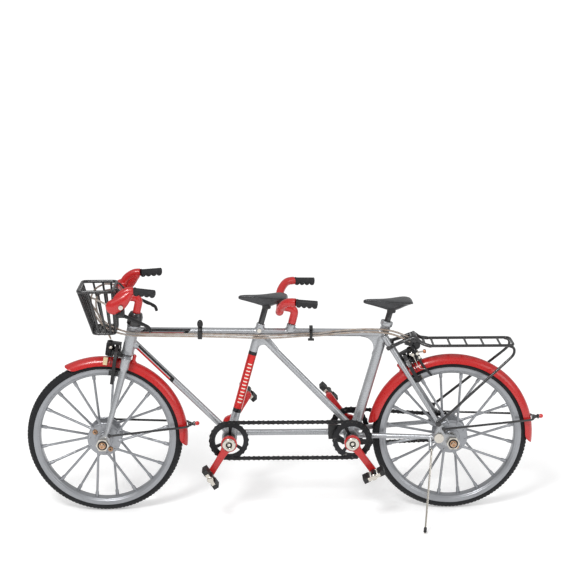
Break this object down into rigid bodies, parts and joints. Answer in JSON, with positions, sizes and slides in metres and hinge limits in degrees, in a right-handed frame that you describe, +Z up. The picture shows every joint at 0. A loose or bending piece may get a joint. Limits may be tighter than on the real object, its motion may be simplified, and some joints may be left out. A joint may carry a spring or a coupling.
{
  "type": "tandem bicycle",
  "caption": "Desk-model tandem bicycle with turning cranks, chains, wheels, steering fork, brakes, folding stand, sliding seat posts, wire basket and rear rack.",
  "frame": {"origin": "on the ground, in the middle plane, midway between the two axles", "axes": "+Z up; -X toward the front wheel; -Y toward the left side, which has the timing chain and the kickstand"},
  "size_m": [0.2723, 0.0676, 0.1268],
  "materials": {
    "frame_silver": "satin silver-grey lacquer on die-cast metal",
    "wheel_silver": "satin silver, slightly grainy",
    "red_lacquer": "glossy red lacquer",
    "nickel": "bright nickel plate",
    "black_enamel": "semi-gloss black enamel",
    "black_brake": "satin black metal",
    "black_chain": "black oxide steel",
    "black_plastic": "moulded black plastic",
    "grip_rubber": "matt black rubber",
    "tyre_rubber": "matt charcoal rubber",
    "saddle_skin": "smooth black leatherette",
    "braided_cable": "braided silver-brown cable casing",
    "red_reflector": "clear red plastic"
  },
  "bodies": {
    "frame": {"frame_tubes": "frame_silver", "bearings": "nickel", "seat_clamp_screws": "nickel", "stoker_bar": "red_lacquer", "stoker_grips": "grip_rubber", "rear_axle": "nickel", "rear_guard": "red_lacquer", "rear_guard_stay": "black_enamel", "rear_reflector": "red_reflector", "rack": "black_enamel", "rear_brake_body": "black_brake", "frame_cables": "braided_cable", "cable_clips": "black_plastic", "timing_chain": "black_chain", "drive_chain": "black_chain", "chain_guide": "black_plastic"},
    "steering": {"fork": "frame_silver", "headset_locknut": "black_enamel", "handlebar": "red_lacquer", "front_grips": "grip_rubber", "lever_hoods": "red_lacquer", "lever_clamps": "black_brake", "basket": "black_enamel", "front_brake_body": "black_brake", "steering_cables": "braided_cable", "front_axle": "nickel", "front_guard": "red_lacquer", "front_guard_stay": "black_enamel", "front_reflector": "red_reflector"},
    "front_wheel": {"front_tyre": "tyre_rubber", "front_rim": "wheel_silver", "front_spokes": "wheel_silver", "front_hub": "wheel_silver"},
    "rear_wheel": {"rear_tyre": "tyre_rubber", "rear_rim": "wheel_silver", "rear_spokes": "wheel_silver", "rear_hub": "wheel_silver", "sprocket": "black_chain"},
    "front_crank": {"front_spindle": "nickel", "front_crank_arms": "red_lacquer", "front_timing_ring": "black_chain"},
    "rear_crank": {"rear_spindle": "nickel", "rear_crank_arms": "red_lacquer", "rear_timing_ring": "black_chain", "drive_ring": "black_chain"},
    "front_left_pedal": {"front_left_pedal": "black_plastic"},
    "front_right_pedal": {"front_right_pedal": "black_plastic"},
    "rear_left_pedal": {"rear_left_pedal": "black_plastic"},
    "rear_right_pedal": {"rear_right_pedal": "black_plastic"},
    "left_lever": {"left_brake_lever": "black_brake"},
    "right_lever": {"right_brake_lever": "black_brake"},
    "front_left_arm": {"front_left_brake_arm": "black_brake"},
    "front_right_arm": {"front_right_brake_arm": "black_brake"},
    "rear_left_arm": {"rear_left_brake_arm": "black_brake"},
    "rear_right_arm": {"rear_right_brake_arm": "black_brake"},
    "kickstand": {"kickstand": "nickel"},
    "front_seat": {"front_seatpost": "black_enamel", "front_saddle": "saddle_skin"},
    "rear_seat": {"rear_seatpost": "black_enamel", "rear_saddle": "saddle_skin"}
  },
  "joints": [
    {"name": "steering", "type": "hinge", "parent": "frame", "child": "steering", "pos_m": [-0.08876, 0, 0.04047], "axis": [0.2284, 0, 0.9736], "range_deg": [-40, 40]},
    {"name": "front_wheel_spin", "type": "hinge", "parent": "steering", "child": "front_wheel", "pos_m": [-0.091, 0, 0.041], "axis": [0, 1, 0], "continuous": true},
    {"name": "rear_wheel_spin", "type": "hinge", "parent": "frame", "child": "rear_wheel", "pos_m": [0.091, 0, 0.041], "axis": [0, 1, 0], "continuous": true},
    {"name": "front_crank_spin", "type": "hinge", "parent": "frame", "child": "front_crank", "pos_m": [-0.0253, 0, 0.042], "axis": [0, 1, 0], "continuous": true},
    {"name": "rear_crank_spin", "type": "hinge", "parent": "frame", "child": "rear_crank", "pos_m": [0.0386, 0, 0.042], "axis": [0, 1, 0], "continuous": true},
    {"name": "front_left_pedal_spin", "type": "hinge", "parent": "front_crank", "child": "front_left_pedal", "pos_m": [-0.03489, -0.024, 0.02629], "axis": [0, 1, 0], "continuous": true},
    {"name": "front_right_pedal_spin", "type": "hinge", "parent": "front_crank", "child": "front_right_pedal", "pos_m": [-0.01571, 0.024, 0.0577], "axis": [0, 1, 0], "continuous": true},
    {"name": "rear_left_pedal_spin", "type": "hinge", "parent": "rear_crank", "child": "rear_left_pedal", "pos_m": [0.04934, -0.024, 0.02706], "axis": [0, 1, 0], "continuous": true},
    {"name": "rear_right_pedal_spin", "type": "hinge", "parent": "rear_crank", "child": "rear_right_pedal", "pos_m": [0.02786, 0.024, 0.05694], "axis": [0, 1, 0], "continuous": true},
    {"name": "left_lever_pull", "type": "hinge", "parent": "steering", "child": "left_lever", "pos_m": [-0.079, -0.022, 0.1129], "axis": [0, -1, 0], "range_deg": [0, 25]},
    {"name": "right_lever_pull", "type": "hinge", "parent": "steering", "child": "right_lever", "pos_m": [-0.079, 0.022, 0.1129], "axis": [0, -1, 0], "range_deg": [0, 25]},
    {"name": "front_left_arm_close", "type": "hinge", "parent": "steering", "child": "front_left_arm", "pos_m": [-0.08374, -0.0034, 0.08733], "axis": [0.988, 0, -0.1547], "range_deg": [0, 3]},
    {"name": "front_right_arm_close", "type": "hinge", "parent": "steering", "child": "front_right_arm", "pos_m": [-0.08374, 0.0034, 0.08733], "axis": [-0.988, 0, 0.1547], "range_deg": [0, 3]},
    {"name": "rear_left_arm_close", "type": "hinge", "parent": "frame", "child": "rear_left_arm", "pos_m": [0.0679, -0.0034, 0.08182], "axis": [0.8704, 0, 0.4924], "range_deg": [0, 3]},
    {"name": "rear_right_arm_close", "type": "hinge", "parent": "frame", "child": "rear_right_arm", "pos_m": [0.0679, 0.0034, 0.08182], "axis": [-0.8704, 0, -0.4924], "range_deg": [0, 3]},
    {"name": "kickstand_fold", "type": "hinge", "parent": "frame", "child": "kickstand", "pos_m": [0.0795, -0.0182, 0.0385], "axis": [0, -0.9373, 0.3486], "range_deg": [0, 102]},
    {"name": "front_seat_height", "type": "slide", "parent": "frame", "child": "front_seat", "axis": [0.2656, 0, 0.9641], "range_m": [-0.001, 0.004]},
    {"name": "rear_seat_height", "type": "slide", "parent": "frame", "child": "rear_seat", "axis": [0.2723, 0, 0.9622], "range_m": [-0.003, 0.004]}
  ],
  "couplings": [
    {"joint": "front_crank_spin", "follows": "rear_wheel_spin", "ratio": 0.70833},
    {"joint": "rear_crank_spin", "follows": "rear_wheel_spin", "ratio": 0.70833},
    {"joint": "front_left_arm_close", "follows": "left_lever_pull", "ratio": 0.12},
    {"joint": "rear_left_arm_close", "follows": "right_lever_pull", "ratio": 0.12},
    {"joint": "front_right_arm_close", "follows": "left_lever_pull", "ratio": 0.12},
    {"joint": "rear_right_arm_close", "follows": "right_lever_pull", "ratio": 0.12}
  ]
}
